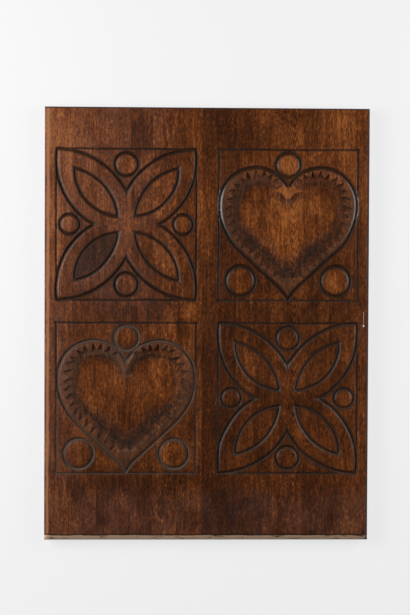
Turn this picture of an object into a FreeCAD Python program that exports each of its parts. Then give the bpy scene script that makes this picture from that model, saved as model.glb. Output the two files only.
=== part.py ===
import FreeCAD, Part
import Sketcher
import math
import os

# Carved oak wainscot panel, one solid lying flat with the carved face up.
# Millimetres. The origin is the middle of the back face, X runs to the right of the
# carving, Y runs to its top, Z is out of the carved face.

doc = FreeCAD.newDocument("WainscotPanel")
sheet = doc.addObject("Spreadsheet::Sheet", "Sizes")

# Driving sizes: word, number.
size = {
    # blank and the four bevels worked round its carved face
    "panel_width": 750.0,
    "panel_height": 1000.0,
    "panel_thickness": 30.0,
    "bevel_depth": 7.0,
    "left_bevel": 10.0,
    "right_bevel": 6.0,
    "top_bevel": 4.0,
    "bottom_bevel": 11.0,
    # four carved fields set out two by two
    "field_width": 322.0,
    "field_height": 348.0,
    "column_gap": 51.5,
    "row_gap": 52.5,
    "top_margin": 96.5,
    # border line scratched round each field
    "line_half_width": 2.5,
    "line_depth": 2.5,
    # flower: compass settings of the petal edges, measured from the middle of the flower
    "petal_top_x": 160.0,
    "petal_top_y": 6.0,
    "petal_top_radius": 179.2,
    "petal_side_x": 7.0,
    "petal_side_y": 147.5,
    "petal_side_radius": 168.0,
    "petal_half_width": 4.6,
    "petal_depth": 5.0,
    # flower: compass settings of the leaf inside each petal
    "leaf_top_x": 146.5,
    "leaf_top_y": 5.0,
    "leaf_top_radius": 128.5,
    "leaf_side_x": 11.5,
    "leaf_side_y": 126.5,
    "leaf_side_radius": 109.0,
    "leaf_half_width": 4.4,
    "leaf_depth": 4.5,
    # flower: the four small roundels between the petals
    "end_roundel_offset": 138.5,
    "end_roundel_radius": 25.5,
    "flank_roundel_offset": 130.5,
    "flank_roundel_radius": 22.0,
    "roundel_half_width": 4.8,
    "roundel_depth": 4.5,
    # heart: the outline groove
    "lobe_spread": 75.5,
    "lobe_overlap": 7.0,
    "lobe_rise": 50.0,
    "side_turn": 175.0,
    "side_radius": 140.0,
    "flank_turn": 227.0,
    "flank_length": 129.5,
    "tip_radius": 90.0,
    "outline_half_width": 4.8,
    "outline_depth": 5.0,
    # heart: rim of the sunk dish
    "rim_spread": 66.0,
    "rim_overlap": 2.0,
    "rim_rise": 47.0,
    "rim_side_radius": 128.0,
    "rim_bottom": 121.0,
    # heart: floor of the sunk dish
    "floor_spread": 56.0,
    "floor_overlap": 1.5,
    "floor_rise": 29.0,
    "floor_side_radius": 62.0,
    "floor_bottom": 86.0,
    "dish_depth": 13.0,
    # heart: the nicks that tooth the rim
    "nick_length": 10.5,
    "nick_half_width": 7.0,
    "nick_slope": 14.0,
    "nick_stroke": 40.0,
    "lobe_nick_start_turn": 53.0,
    "lobe_nick_step_turn": 14.6,
    "side_nick_start_turn": 181.5,
    "side_nick_step_turn": 8.2,
    "flank_nick_first": 10.0,
    "flank_nick_step": 19.5,
    "bottom_nick_offset": 9.5,
    # heart: the three roundels round it
    "crown_roundel_offset": 139.0,
    "crown_roundel_radius": 27.5,
    "foot_roundel_x": 110.0,
    "foot_roundel_y": 129.0,
    "foot_roundel_radius": 32.0,
    # how far every cutter stands proud of the carved face
    "overrun": 2.0,
}

lobe_nicks = 9
side_nicks = 6
flank_nicks = 5

for row, (word, number) in enumerate(size.items(), 1):
    sheet.set("A%d" % row, word)
    sheet.set("B%d" % row, str(number))
    sheet.setAlias("B%d" % row, word)
doc.recompute()


def bind(feature, settings):
    for name, formula in settings.items():
        feature.setExpression(name, formula)


def place(feature, x="0", y="0", z="0", yaw="0", pitch="0", roll="0"):
    where = "vector(%s; %s; %s)" % (x, y, z)
    turned = "rotation(%s; %s; %s)" % (yaw, pitch, roll)
    feature.setExpression("Placement", "placement(%s; %s)" % (where, turned))


def cut(name, base, tool):
    feature = doc.addObject("Part::Cut", name)
    feature.Base = base
    feature.Tool = tool
    return feature


def common(name, first, second):
    feature = doc.addObject("Part::Common", name)
    feature.Base = first
    feature.Tool = second
    return feature


def fuse(name, shapes):
    feature = doc.addObject("Part::MultiFuse", name)
    feature.Shapes = shapes
    return feature


def mirror(name, source, normal):
    feature = doc.addObject("Part::Mirroring", name)
    feature.Source = source
    feature.Normal = normal
    return feature


def repeat(name, source, x, y):
    feature = doc.addObject("Part::Compound", name)
    feature.Links = [source]
    place(feature, x, y)
    return feature


face = "Sizes.panel_thickness"


# Half of a V groove round a circle: a cone that starts at the groove's bottom line and
# widens (outer wall) or narrows (inner wall) on its way up to just above the carved face.
def wall_cone(name, x, y, radius, cutter, sign, start="0", sweep="360"):
    half_width = "Sizes.%s_half_width" % cutter
    depth = "Sizes.%s_depth" % cutter
    cone = doc.addObject("Part::Cone", name)
    rise = "(%s + Sizes.overrun)" % depth
    bind(cone, {
        "Radius1": radius,
        "Radius2": "%s %s %s * %s / %s" % (radius, sign, half_width, rise, depth),
        "Height": rise,
        "Angle": sweep,
    })
    place(cone, x, y, "%s - %s" % (face, depth), start)
    return cone


# V groove round a circle, or round part of one.
def ring(name, x, y, radius, cutter, start="0", sweep="360"):
    outer = wall_cone(name + "_outer", x, y, radius, cutter, "+", start, sweep)
    inner = wall_cone(name + "_inner", x, y, radius, cutter, "-", start, sweep)
    return cut(name, outer, inner)


# Pointed oval held between two compass arcs, as the pit or the island of its V groove.
def pointed_oval(name, top, side, cutter, sign):
    first = wall_cone(name + "_top", *top, cutter, sign)
    second = wall_cone(name + "_side", *side, cutter, sign)
    return common(name, first, second)


# Slab whose far face may be larger or smaller than its near face.
def slab(name, low, high, height):
    wedge = doc.addObject("Part::Wedge", name)
    bind(wedge, {
        "Xmin": low[0], "Xmax": low[1], "Zmin": low[2], "Zmax": low[3],
        "X2min": high[0], "X2max": high[1], "Z2min": high[2], "Z2max": high[3],
        "Ymin": "0", "Ymax": height,
    })
    return wedge


# Blank: a plain board with a bevelled upper edge, each of the four bevels its own width.
board = doc.addObject("Part::Box", "board")
bind(board, {
    "Length": "Sizes.panel_width",
    "Width": "Sizes.panel_height",
    "Height": "Sizes.panel_thickness - Sizes.bevel_depth",
})
place(board, "-Sizes.panel_width / 2", "-Sizes.panel_height / 2")

bevelled = slab(
    "bevelled_edge",
    ("0", "Sizes.panel_width", "0", "Sizes.panel_height"),
    ("Sizes.left_bevel", "Sizes.panel_width - Sizes.right_bevel",
     "Sizes.top_bevel", "Sizes.panel_height - Sizes.bottom_bevel"),
    "Sizes.bevel_depth",
)
place(bevelled, "-Sizes.panel_width / 2", "Sizes.panel_height / 2",
      "Sizes.panel_thickness - Sizes.bevel_depth", "0", "0", "90")
blank = fuse("blank", [board, bevelled])


# Border line of one field, a square frame of V groove.
line_rise = "(Sizes.line_depth + Sizes.overrun)"
line_spill = "(Sizes.line_half_width * %s / Sizes.line_depth)" % line_rise
half_field = ("-Sizes.field_width / 2", "Sizes.field_width / 2",
              "-Sizes.field_height / 2", "Sizes.field_height / 2")


def border(name):
    walls = []
    for wall, low_sign, high_sign in (("outer", "-", "+"), ("inner", "+", "-")):
        signs = (low_sign, high_sign, low_sign, high_sign)
        high = ["%s %s %s" % (edge, sign, line_spill) for edge, sign in zip(half_field, signs)]
        wedge = slab(name + "_" + wall, half_field, high, line_rise)
        place(wedge, "0", "0", "%s - Sizes.line_depth" % face, "0", "0", "90")
        walls.append(wedge)
    return cut(name, walls[0], walls[1])


# Flower: four petals whose edges run from the corners of the field to the notches between
# them, a pointed leaf in each petal and a roundel in each notch.
across = FreeCAD.Vector(1, 0, 0)
along = FreeCAD.Vector(0, 1, 0)


def four_ways(name, source):
    right = mirror(name + "_right", source, across)
    top = fuse(name + "_pair", [source, right])
    bottom = mirror(name + "_foot", top, along)
    return fuse(name, [top, bottom])


petal_top = ("-Sizes.petal_top_x", "-Sizes.petal_top_y", "Sizes.petal_top_radius")
petal_side = ("Sizes.petal_side_x", "Sizes.petal_side_y", "Sizes.petal_side_radius")
petal_pits = four_ways("petal_pits", pointed_oval("petal_pit", petal_top, petal_side, "petal", "+"))
petal_lands = four_ways("petal_lands", pointed_oval("petal_land", petal_top, petal_side, "petal", "-"))
petals = cut("petals", petal_pits, petal_lands)

leaf_top = ("-Sizes.leaf_top_x", "Sizes.leaf_top_y", "Sizes.leaf_top_radius")
leaf_side = ("-Sizes.leaf_side_x", "Sizes.leaf_side_y", "Sizes.leaf_side_radius")
leaf = cut("leaf", pointed_oval("leaf_pit", leaf_top, leaf_side, "leaf", "+"),
           pointed_oval("leaf_land", leaf_top, leaf_side, "leaf", "-"))
leaves = four_ways("leaves", leaf)

flower_roundels = [
    ring("top_roundel", "0", "Sizes.end_roundel_offset", "Sizes.end_roundel_radius", "roundel"),
    ring("foot_roundel", "0", "-Sizes.end_roundel_offset", "Sizes.end_roundel_radius", "roundel"),
    ring("left_roundel", "-Sizes.flank_roundel_offset", "0", "Sizes.flank_roundel_radius", "roundel"),
    ring("right_roundel", "Sizes.flank_roundel_offset", "0", "Sizes.flank_roundel_radius", "roundel"),
]
flower = fuse("flower", [border("flower_border"), petals, leaves] + flower_roundels)


# Heart outline: lobe arc, wider side arc, straight flank and a reversed arc at the tip,
# each running into the next without a kink. Only the left half is set out.
lobe_x = "(-Sizes.lobe_spread)"
lobe_y = "Sizes.lobe_rise"
lobe_radius = "(Sizes.lobe_spread + Sizes.lobe_overlap)"
side_x = "(%s + (%s - Sizes.side_radius) * cos(Sizes.side_turn))" % (lobe_x, lobe_radius)
side_y = "(%s + (%s - Sizes.side_radius) * sin(Sizes.side_turn))" % (lobe_y, lobe_radius)
flank_x = "(%s + Sizes.side_radius * cos(Sizes.flank_turn))" % side_x
flank_y = "(%s + Sizes.side_radius * sin(Sizes.flank_turn))" % side_y
flank_end_x = "(%s - Sizes.flank_length * sin(Sizes.flank_turn))" % flank_x
flank_end_y = "(%s + Sizes.flank_length * cos(Sizes.flank_turn))" % flank_y
tip_x = "(%s + Sizes.tip_radius * cos(Sizes.flank_turn))" % flank_end_x
tip_y = "(%s + Sizes.tip_radius * sin(Sizes.flank_turn))" % flank_end_y


# Straight V cutter: its bottom line starts at the given point and runs off along Y turned
# by the yaw, dipping by the slope.
def straight_cutter(name, half_width, depth, length, x, y, z, yaw, slope="0"):
    wedge = doc.addObject("Part::Wedge", name)
    bind(wedge, {
        "Xmin": "-%s" % half_width, "Xmax": half_width, "X2min": "0", "X2max": "0",
        "Zmin": "0", "Zmax": length, "Z2min": "0", "Z2max": length,
        "Ymin": "-%s" % depth, "Ymax": "0",
    })
    place(wedge, x, y, z, yaw, "0", "-90 - %s" % slope)
    return wedge


outline_rise = "(Sizes.outline_depth + Sizes.overrun)"
outline_spill = "(Sizes.outline_half_width * %s / Sizes.outline_depth)" % outline_rise
lobe_groove = ring("lobe_groove", lobe_x, lobe_y, lobe_radius, "outline", "0", "Sizes.side_turn")
side_groove = ring("side_groove", side_x, side_y, "Sizes.side_radius", "outline",
                   "Sizes.side_turn", "Sizes.flank_turn - Sizes.side_turn")
flank_groove = straight_cutter("flank_groove", outline_spill, outline_rise, "Sizes.flank_length",
                               flank_x, flank_y, "%s - Sizes.outline_depth" % face, "Sizes.flank_turn")
tip_groove = ring("tip_groove", tip_x, tip_y, "Sizes.tip_radius", "outline",
                  "0", "Sizes.flank_turn - 180")
half_outline = fuse("half_outline", [lobe_groove, side_groove, flank_groove, tip_groove])

# The groove stops at the heart's middle line, where its mirror image takes over, and its tip
# at the border line.
left_side = doc.addObject("Part::Box", "left_side")
bind(left_side, {
    "Length": "Sizes.field_width",
    "Width": "Sizes.field_height",
    "Height": "2 * Sizes.panel_thickness",
})
place(left_side, "-Sizes.field_width", "-Sizes.field_height / 2")
left_outline = common("left_outline", half_outline, left_side)
right_outline = mirror("right_outline", left_outline, across)


# Outline of the dish at its rim or at its floor: the same heart without the reversed tip,
# cut off straight at the foot. The sketch is laid out in place, then held by its sizes.
def heart_sketch(name, key, level):
    spread = size[key + "_spread"]
    radius = spread + size[key + "_overlap"]
    rise = size[key + "_rise"]
    side_radius = size[key + "_side_radius"]
    foot = -size[key + "_bottom"]
    turn = math.radians(size["side_turn"])
    flank = math.radians(size["flank_turn"])
    up = FreeCAD.Vector(0, 0, 1)
    sketch = doc.addObject("Sketcher::SketchObject", name)
    place(sketch, "0", "0", level)

    cleft = math.acos(spread / radius)
    side_centre_x = -spread + (radius - side_radius) * math.cos(turn)
    side_centre_y = rise + (radius - side_radius) * math.sin(turn)
    start_x = side_centre_x + side_radius * math.cos(flank)
    start_y = side_centre_y + side_radius * math.sin(flank)
    end_x = start_x + (foot - start_y) * math.tan(math.pi - flank)

    def arc(x, y, arc_radius, first, last):
        whole = Part.Circle(FreeCAD.Vector(x, y, 0), up, arc_radius)
        return sketch.addGeometry(Part.ArcOfCircle(whole, first, last), False)

    def straight(x_from, y_from, x_to, y_to):
        ends = (FreeCAD.Vector(x_from, y_from, 0), FreeCAD.Vector(x_to, y_to, 0))
        return sketch.addGeometry(Part.LineSegment(*ends), False)

    left_lobe = arc(-spread, rise, radius, cleft, turn)
    left_arc = arc(side_centre_x, side_centre_y, side_radius, turn, flank)
    left_flank = straight(start_x, start_y, end_x, foot)
    bottom = straight(end_x, foot, -end_x, foot)
    right_flank = straight(-end_x, foot, -start_x, start_y)
    right_arc = arc(-side_centre_x, side_centre_y, side_radius, math.pi - flank, math.pi - turn)
    right_lobe = arc(spread, rise, radius, math.pi - turn, math.pi - cleft)

    # the sketcher's own numbers for the points of an edge and for the sketch's axes
    start = 1
    end = 2
    middle = 3
    origin = -1
    vertical = -2

    def hold(kind, *where):
        return sketch.addConstraint(Sketcher.Constraint(kind, *where))

    def hold_size(kind, formula, *where):
        index = hold(kind, *where)
        sketch.setExpression("Constraints[%d]" % index, formula)

    hold("Tangent", left_lobe, end, left_arc, start)
    hold("Tangent", left_arc, end, left_flank, start)
    hold("Coincident", left_flank, end, bottom, start)
    hold("Coincident", bottom, end, right_flank, start)
    hold("Tangent", right_flank, end, right_arc, start)
    hold("Tangent", right_arc, end, right_lobe, start)
    hold("Coincident", right_lobe, end, left_lobe, start)
    hold("PointOnObject", left_lobe, start, vertical)
    hold("Symmetric", left_lobe, middle, right_lobe, middle, vertical)
    hold("Symmetric", left_arc, middle, right_arc, middle, vertical)
    hold("Horizontal", left_flank, start, right_flank, end)
    hold("Horizontal", bottom)

    word = "Sizes.%s_" % key
    lobe = "(%sspread + %soverlap)" % (word, word)
    hold_size("DistanceX", word + "spread", left_lobe, middle, origin, start, spread)
    hold_size("DistanceY", word + "rise", origin, start, left_lobe, middle, rise)
    hold_size("Radius", lobe, left_lobe, radius)
    hold_size("Radius", word + "side_radius", left_arc, side_radius)
    hold_size("DistanceY", "(%sside_radius - %s) * sin(Sizes.side_turn)" % (word, lobe),
              left_arc, middle, left_lobe, middle, rise - side_centre_y)
    hold_size("DistanceY", "-%sside_radius * sin(Sizes.flank_turn)" % word,
              left_flank, start, left_arc, middle, side_centre_y - start_y)
    hold_size("DistanceY", word + "bottom", bottom, start, origin, start, -foot)
    return sketch


rim = heart_sketch("dish_rim", "rim", face)
floor = heart_sketch("dish_floor", "floor", "%s - Sizes.dish_depth" % face)
dish = doc.addObject("Part::Loft", "dish")
dish.Sections = [rim, floor]
dish.Solid = True
dish.Ruled = True


# Nicks: a V cutter pushed in from a little outside the rim and down into the dish, one
# after another along the lobe, the side, the flank and the foot of the rim.
nick_fall = "(Sizes.nick_length * tan(Sizes.nick_slope))"
nick_height = "(Sizes.nick_stroke * sin(Sizes.nick_slope) + Sizes.overrun)"
nick_half = "(Sizes.nick_half_width * %s / %s)" % (nick_height, nick_fall)


def nick(name, x, y, inward):
    return straight_cutter(name, nick_half, nick_height, "Sizes.nick_stroke",
                           x, y, face, "%s - 90" % inward, "Sizes.nick_slope")


rim_lobe = "(Sizes.rim_spread + Sizes.rim_overlap)"
rim_lobe_x = "(-Sizes.rim_spread)"
rim_lobe_y = "Sizes.rim_rise"
rim_side_x = "(%s + (%s - Sizes.rim_side_radius) * cos(Sizes.side_turn))" % (rim_lobe_x, rim_lobe)
rim_side_y = "(%s + (%s - Sizes.rim_side_radius) * sin(Sizes.side_turn))" % (rim_lobe_y, rim_lobe)
reach_lobe = "(%s + Sizes.nick_length)" % rim_lobe
reach_side = "(Sizes.rim_side_radius + Sizes.nick_length)"

left_nicks = []
for index in range(lobe_nicks):
    turn = "(Sizes.lobe_nick_start_turn + %d * Sizes.lobe_nick_step_turn)" % index
    left_nicks.append(nick("lobe_nick_%d" % (index + 1),
                           "%s + %s * cos(%s)" % (rim_lobe_x, reach_lobe, turn),
                           "%s + %s * sin(%s)" % (rim_lobe_y, reach_lobe, turn),
                           "%s + 180" % turn))
for index in range(side_nicks):
    turn = "(Sizes.side_nick_start_turn + %d * Sizes.side_nick_step_turn)" % index
    left_nicks.append(nick("side_nick_%d" % (index + 1),
                           "%s + %s * cos(%s)" % (rim_side_x, reach_side, turn),
                           "%s + %s * sin(%s)" % (rim_side_y, reach_side, turn),
                           "%s + 180" % turn))
for index in range(flank_nicks):
    step = "(Sizes.flank_nick_first + %d * Sizes.flank_nick_step)" % index
    left_nicks.append(nick("flank_nick_%d" % (index + 1),
                           "%s + %s * cos(Sizes.flank_turn) - %s * sin(Sizes.flank_turn)"
                           % (rim_side_x, reach_side, step),
                           "%s + %s * sin(Sizes.flank_turn) + %s * cos(Sizes.flank_turn)"
                           % (rim_side_y, reach_side, step),
                           "Sizes.flank_turn + 180"))
left_nicks.append(nick("bottom_nick", "-Sizes.bottom_nick_offset",
                       "-Sizes.rim_bottom - Sizes.nick_length", "90"))
left_teeth = fuse("left_teeth", left_nicks)
right_teeth = mirror("right_teeth", left_teeth, across)

heart_roundels = [
    ring("crown_roundel", "0", "Sizes.crown_roundel_offset", "Sizes.crown_roundel_radius", "roundel"),
    ring("left_foot_roundel", "-Sizes.foot_roundel_x", "-Sizes.foot_roundel_y",
         "Sizes.foot_roundel_radius", "roundel"),
    ring("right_foot_roundel", "Sizes.foot_roundel_x", "-Sizes.foot_roundel_y",
         "Sizes.foot_roundel_radius", "roundel"),
]
heart = fuse("heart", [border("heart_border"), left_outline, right_outline, dish,
                       left_teeth, right_teeth] + heart_roundels)


# The carving: flower at the top left and the bottom right, heart in the other two fields.
column = "(Sizes.field_width + Sizes.column_gap) / 2"
upper_row = "(Sizes.panel_height / 2 - Sizes.top_margin - Sizes.field_height / 2)"
lower_row = "(%s - Sizes.field_height - Sizes.row_gap)" % upper_row
carving = [
    repeat("upper_flower", flower, "-" + column, upper_row),
    repeat("lower_flower", flower, column, lower_row),
    repeat("upper_heart", heart, column, upper_row),
    repeat("lower_heart", heart, "-" + column, lower_row),
]
panel = cut("carved_panel", blank, fuse("carving", carving))
panel.Label = "carved_panel"

doc.recompute()
for feature in doc.Objects:
    if "Invalid" in feature.State or "Error" in feature.State:
        raise RuntimeError("%s did not build: %s" % (feature.Name, feature.State))
if panel.Shape.isNull() or not panel.Shape.isValid() or len(panel.Shape.Solids) != 1:
    raise RuntimeError("carved_panel is not one sound solid")

os.makedirs("parts", exist_ok=True)
panel.Shape.exportStep("parts/carved_panel.step")
print("carved_panel", panel.Shape.BoundBox, round(panel.Shape.Volume), len(panel.Shape.Faces))
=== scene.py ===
import math
import bpy
import numpy as np
from mathutils import Euler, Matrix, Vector, geometry


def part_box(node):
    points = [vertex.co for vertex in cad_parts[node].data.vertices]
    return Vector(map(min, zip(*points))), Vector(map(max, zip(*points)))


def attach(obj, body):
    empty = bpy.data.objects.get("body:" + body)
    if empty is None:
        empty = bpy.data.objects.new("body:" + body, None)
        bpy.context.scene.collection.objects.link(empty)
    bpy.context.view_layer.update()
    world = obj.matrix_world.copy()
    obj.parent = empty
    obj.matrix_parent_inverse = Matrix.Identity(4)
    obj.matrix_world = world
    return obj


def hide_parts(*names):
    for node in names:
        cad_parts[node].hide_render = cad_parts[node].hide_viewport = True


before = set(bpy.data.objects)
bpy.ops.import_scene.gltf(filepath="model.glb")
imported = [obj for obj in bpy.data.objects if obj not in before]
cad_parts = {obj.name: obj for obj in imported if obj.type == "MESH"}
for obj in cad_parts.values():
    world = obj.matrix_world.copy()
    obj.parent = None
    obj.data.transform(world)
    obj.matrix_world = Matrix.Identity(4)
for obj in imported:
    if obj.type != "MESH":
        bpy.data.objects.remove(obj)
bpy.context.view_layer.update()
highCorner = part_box("carved_panel")[1]
millimetre = 0.001
faceLevel = highCorner.z / millimetre  # the carved face, above the flat back
print("frame loaded, carved face at", round(faceLevel, 2), "mm")

# the board, in mm
board = {
    "halfWidth": highCorner.x / millimetre,
    "halfHeight": highCorner.y / millimetre,
    "bevelDepth": 7.0,
    "bevelCurve": 1.08,
    "leftBevelTop": 11.2,
    "leftBevelFoot": 8.8,
    "rightBevel": 6.0,
    "topBevel": 4.0,
    "footBevel": 11.0,
    "wear": {"reach": 0.5, "length": 60.0, "right": 0.5, "top": 0.4},
    "backChamfer": 1.5,
    "sharpTurn": 40.0,
    "plane": {"depth": 0.24, "least": 0.02, "waves": 0.11, "length": 45.0, "stretch": 0.25,
              "slow": 0.7, "slowLength": 120.0, "fromEdge": 0.2},
    "drift": {"reach": 0.38, "length": 85.0},  # how far the hand strayed from the set-out lines
    "drip": {"x": 362.7, "top": 30.0, "foot": -2.4, "bead": 2.4, "beadLong": 0.85, "beadTone": 2.2,
             "trail": 0.9, "trailTone": 0.6, "trailProud": 0.12, "proud": 0.34,
             "sway": 0.25, "swayLength": 5.0},
}

# where the four motifs sit, how deep the line round each is scratched, how clean its discs and
# leaves or dish were rubbed, how much dust and painted light lie in its cuts and how dull they are;
# a heart also has the tone of its toothed band and the painted highlight on the beak below its cleft, how
# free of painted shade and how short the cleft is, its shine, and the painted shade, painted sheen and dust
# down its sides
fields = {
    "upperFlower": {"at": (-186.75, 229.5), "motif": "flower", "lineDepth": 3.0,
                    "rubbed": 0.10, "dustAndLight": 0.0, "dull": 0.31, "stainedLeaf": True},
    "upperHeart": {"at": (186.75, 229.5), "motif": "heart", "lineDepth": 2.2,
                   "rubbed": 0.16, "dustAndLight": 0.15, "dull": 0.0, "band": 0.08, "beak": 0.25,
                   "cleftUnshaded": 0.5, "cleftStop": 88.0, "polish": 0.9,
                   "sideShade": -0.07, "rightShade": 0.0, "sideShift": 5.0, "sideSheenAndDust": 0.8},
    "lowerHeart": {"at": (-186.75, -171.0), "motif": "heart", "lineDepth": 2.3,
                   "rubbed": 0.05, "dustAndLight": 1.0, "dull": 0.0, "band": -0.05, "beak": 0.0,
                   "cleftUnshaded": 0.2, "cleftStop": 60.0, "polish": 0.0,
                   "sideShade": 0.08, "rightShade": 0.26, "sideShift": 7.0, "sideSheenAndDust": 1.5},
    "lowerFlower": {"at": (186.75, -171.0), "motif": "flower", "lineDepth": 2.3,
                    "rubbed": 0.03, "dustAndLight": 0.3, "dull": 0.28, "stainedLeaf": False},
}
fieldReach = (180.0, 192.0)  # half the ground that is worked on as one field
borderLine = {"halfWide": 161.0, "halfHigh": 174.0, "halfGroove": 2.5, "curve": 1.1, "uneven": 0.22,
              "unevenLength": 160.0, "dirtAndShade": 1.2, "dirtAndShadeFall": 0.95, "dustAndLightShare": (110, -130)}

# a cut has a long rounded shoulder on the proud side and a short wall on the ground side
shoulderCurve = 1.5
waxAndShadeSpread = 1.8  # in widths of the wall
discRubbed = (3.0, 10.0)  # how far in a disc was rubbed clean
cutDustAndLight = {"cuts": 2.0, "teeth": 0.35, "dull": 3.0}
flower = {
    "petalTop": (-160.0, -6.0, 179.2),
    "petalSide": (7.0, 147.5, 168.0),
    "leafTop": (-146.5, 5.0, 128.5),
    "leafSide": (-11.5, 126.5, 109.0),
    "petalCut": {"bottom": 0.8, "shoulder": 7.6, "wall": 3.6, "depth": 5.2},
    "leafCut": {"bottom": 1.0, "shoulder": 7.0, "wall": 3.4, "depth": 4.8},
    "leafSink": 0.7,
    "leafRubbed": {"from": 0.5, "over": 6.0, "most": 0.8},
    "leafStain": {"from": 0.2, "over": 5.0},
    "roundels": [(0.0, 138.5, 26.4), (0.0, -138.5, 26.4), (-130.5, 0.0, 22.6), (130.5, 0.0, 22.6)],
    "roundelCut": {"bottom": 0.6, "shoulder": 7.4, "wall": 3.8, "depth": 4.8},
    "overshoot": 0.0,
}
heart = {
    "outline": {"spread": 75.5, "radius": 82.5, "rise": 50.0, "sideRadius": 140.0,
                "flankLength": 129.5, "tipRadius": 90.0},
    "rim": {"spread": 66.0, "radius": 68.0, "rise": 47.0, "sideRadius": 128.0, "foot": 121.0},
    "floor": {"spread": 56.0, "radius": 57.5, "rise": 29.0, "sideRadius": 62.0, "foot": 86.0},
    "sideTurn": 175.0,
    "flankTurn": 227.0,
    "outlineCut": {"bottom": 1.0, "shoulder": 8.0, "wall": 3.6, "depth": 5.2},
    "cleft": {"half": (17, 9), "end": (3, -4), "foot": 40},
    "dishDepth": 12.9,
    "dishEase": 1.55,
    "stroke": {"depth": 0.35, "length": 5.6, "sway": 2.2, "swayLength": 40.0},
    "roundels": [(0.0, 139.0, 28.0), (-110.0, -129.0, 34.0), (110.0, -129.0, 34.0)],
    "roundelCut": {"bottom": 0.8, "shoulder": 8.4, "wall": 4.2, "depth": 5.0},
    "overshoot": 2.6,
    # rows of nicks on the left half: start, step and count, in degrees or mm
    "lobeNicks": (53.0, 14.6, 9),
    "sideNicks": (181.5, 8.2, 6),
    "flankNicks": (10.0, 19.5, 5),
    "footNick": (9.5, 5.0),
    "footHalf": 18.0,
    # the pale beak under the cleft: at each half width, where its edge runs and how thick it is
    "beakHalf": (0.0, 14.0, 32.0),
    "beakEdge": (58.0, 74.0, 80.0),
    "beakThick": (40.0, 16.0, 1.0),
}
motifs = {"flower": flower, "heart": heart}
# one nick: a stab that widens and deepens into the dish; its dirt and painted shade follow the way it runs
nick = {"length": 13.0, "reach": 14.5, "halfWidth": 8.6, "stab": 2.1, "slope": 15.5, "wall": 2.1,
        "level": 0.012, "levelFrom": 14.0, "within": 28.0,
        "turnChance": 7.0, "lengthChance": 1.6, "placeChance": 0.8,
        "spreadChance": (0.82, 1.15), "stabChance": (0.6, 1.7),
        "point": 9.5, "pointDark": 1.15, "pointDown": 0.55,
        "line": 3.1, "lineDark": 1.5, "lineEnd": 18.0, "lineEndAcross": 10.0, "lineFade": 8.0,
        "facing": 0.3, "facingAcross": 0.25, "facingSide": 0.4, "facingDown": 0.16,
        "bedDirtAndShade": 0.15, "bedRight": 0.17, "bedDepth": 0.8, "matt": 0.5, "mattDepth": 0.5}
# painted shade, painted sheen, dust and wear round a heart: reaches in mm, the rest as shares of the full
# tone
heartShadeAndWear = {
    "flank": (15, -40), "crown": (70, 105), "right": (20, 60),
    "core": {"in": 14, "inEnds": 3, "width": 7.0, "tone": 0.18, "flank": 0.30, "crown": 0.10},
    "broad": {"in": 21, "width": 13.0, "flankWidth": 7.0, "tone": 0.14, "flank": 0.36, "crown": 0.14},
    "shiftRight": 4, "rimFade": (-1, -8), "rimRight": (10, 19),
    "cleft": {"at": 66, "flat": 0.7, "reach": (30, 10)},
    "notch": {"tone": 0.8, "side": (2, -1), "sole": (-2, 1), "top": (30, 14)},
    "ledge": {"rim": (4.5, 1.5), "sole": (4, 1.5), "length": 11.0, "broken": (-0.2, 0.8), "in": 1},
    "beak": {"side": (56, 34), "line": (0, -4), "tip": (34, 30), "under": (-1.5, 1.5), "over": (3, -3),
             "shade": 0.5, "shadeTop": (0, -3), "shadeFoot": (-34, -8), "shadeMiddle": (2, 9)},
    "dish": {"wall": 0.75, "floor": 0.25, "floorIn": 9.0, "clean": 0.7, "over": 0.3},
    "band": (-1, 3), "bandLine": (-4, -9),
    "haze": 0.3, "hazeIn": (-24, -12),
    "sideGreyFlank": 0.6, "sideGreyIn": (-22, -10), "sideGreyOut": (10, 3), "ledgeVeil": 2.4,
    "upperLeft": (-70, -100), "upperLessShade": 0.45, "ledgeTeeth": 0.8, "leftTeeth": 0.4,
    "polish": (60, 110), "matt": 0.45, "mattRim": (1, -2), "mattIn": (-26, -18),
}
pointStep = 1.5  # along a drawn line


# sum of slow waves, about one unit high, the same every run
def waves(x, y, length, seed, count=7):
    chance = np.random.default_rng(seed)
    total = np.zeros_like(x)
    for _ in range(count):
        heading = chance.uniform(0, 2 * math.pi)
        pace = 2 * math.pi / length * chance.uniform(0.6, 1.5)
        phase = chance.uniform(0, 2 * math.pi)
        total += np.sin(pace * (x * math.cos(heading) + y * math.sin(heading)) + phase)
    return total / math.sqrt(count)


# nought at one value and one at the other, with an eased run between
def eased(value, low, high):
    share = np.clip((value - low) / (high - low), 0, 1)
    return share * share * (3 - 2 * share)


def handDrift(x, y):
    drift = board["drift"]
    return [drift["reach"] * waves(x, y, drift["length"], seed) for seed in (11, 12)]


def circleDistance(x, y, circle):
    return np.hypot(x - circle[0], y - circle[1]) - circle[2]


def ovalDistance(x, y, first, second):
    return np.maximum(circleDistance(x, y, first), circleDistance(x, y, second))


def petalDistance(x, y):
    reach = [ovalDistance(x * across, y * along, flower["petalTop"], flower["petalSide"])
             for across in (1, -1) for along in (1, -1)]
    return np.minimum.reduce(reach)


def leafDistance(x, y):
    return ovalDistance(-np.abs(x), np.abs(y), flower["leafTop"], flower["leafSide"])


def arcPoints(x, y, radius, start, end, step=pointStep):
    count = max(2, int(abs(math.radians(end - start)) * radius / step))
    turn = np.radians(np.linspace(start, end, count + 1))
    return np.stack([x + radius * np.cos(turn), y + radius * np.sin(turn)], 1)


# middle of the long arc down a heart's left side
def sideMiddle(sizes):
    turn = math.radians(heart["sideTurn"])
    inset = sizes["radius"] - sizes["sideRadius"]
    return -sizes["spread"] + inset * math.cos(turn), sizes["rise"] + inset * math.sin(turn)


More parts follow.
